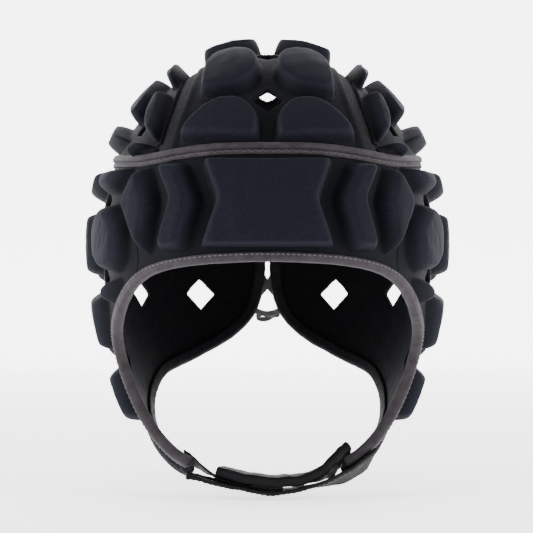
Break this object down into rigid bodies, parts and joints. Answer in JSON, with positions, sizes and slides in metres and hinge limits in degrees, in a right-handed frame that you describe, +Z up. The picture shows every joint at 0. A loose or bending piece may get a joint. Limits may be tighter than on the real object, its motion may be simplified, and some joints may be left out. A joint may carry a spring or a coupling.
{
  "type": "padded rugby headguard",
  "caption": "Soft padded rugby headguard with raised foam pads, diamond vents, ear openings, taped edges, back lacing and chin strap.",
  "frame": {"origin": "inside of the crown at its top, where the head sits", "axes": "+Z up, -Y out of the face opening, +X towards the wearer's left"},
  "size_m": [0.1948, 0.2208, 0.2394],
  "materials": {
    "padded_cloth": "fine knit over foam, dark grey-blue",
    "mesh_cloth": "open mesh, black",
    "grey_tape": "woven tape with dark stitches, warm grey",
    "black_tape": "woven tape, black",
    "strap_cloth": "brushed strap with a soft sheen, black",
    "lace_cord": "flat woven lace, grey"
  },
  "bodies": {
    "root": {"forehead_panel": "padded_cloth", "side_panel_left": "padded_cloth", "side_panel_right": "padded_cloth", "crown_centre": "padded_cloth", "crown_side_left": "padded_cloth", "crown_side_right": "padded_cloth", "gusset_left": "mesh_cloth", "gusset_right": "mesh_cloth", "crown_tape": "grey_tape", "face_tape": "grey_tape", "neck_tape_left": "black_tape", "neck_tape_right": "black_tape", "strap_tab": "strap_cloth", "strap_pad": "strap_cloth", "strap_outer": "strap_cloth", "lace_crossings": "lace_cord", "lace_bow": "lace_cord"}
  },
  "joints": []
}
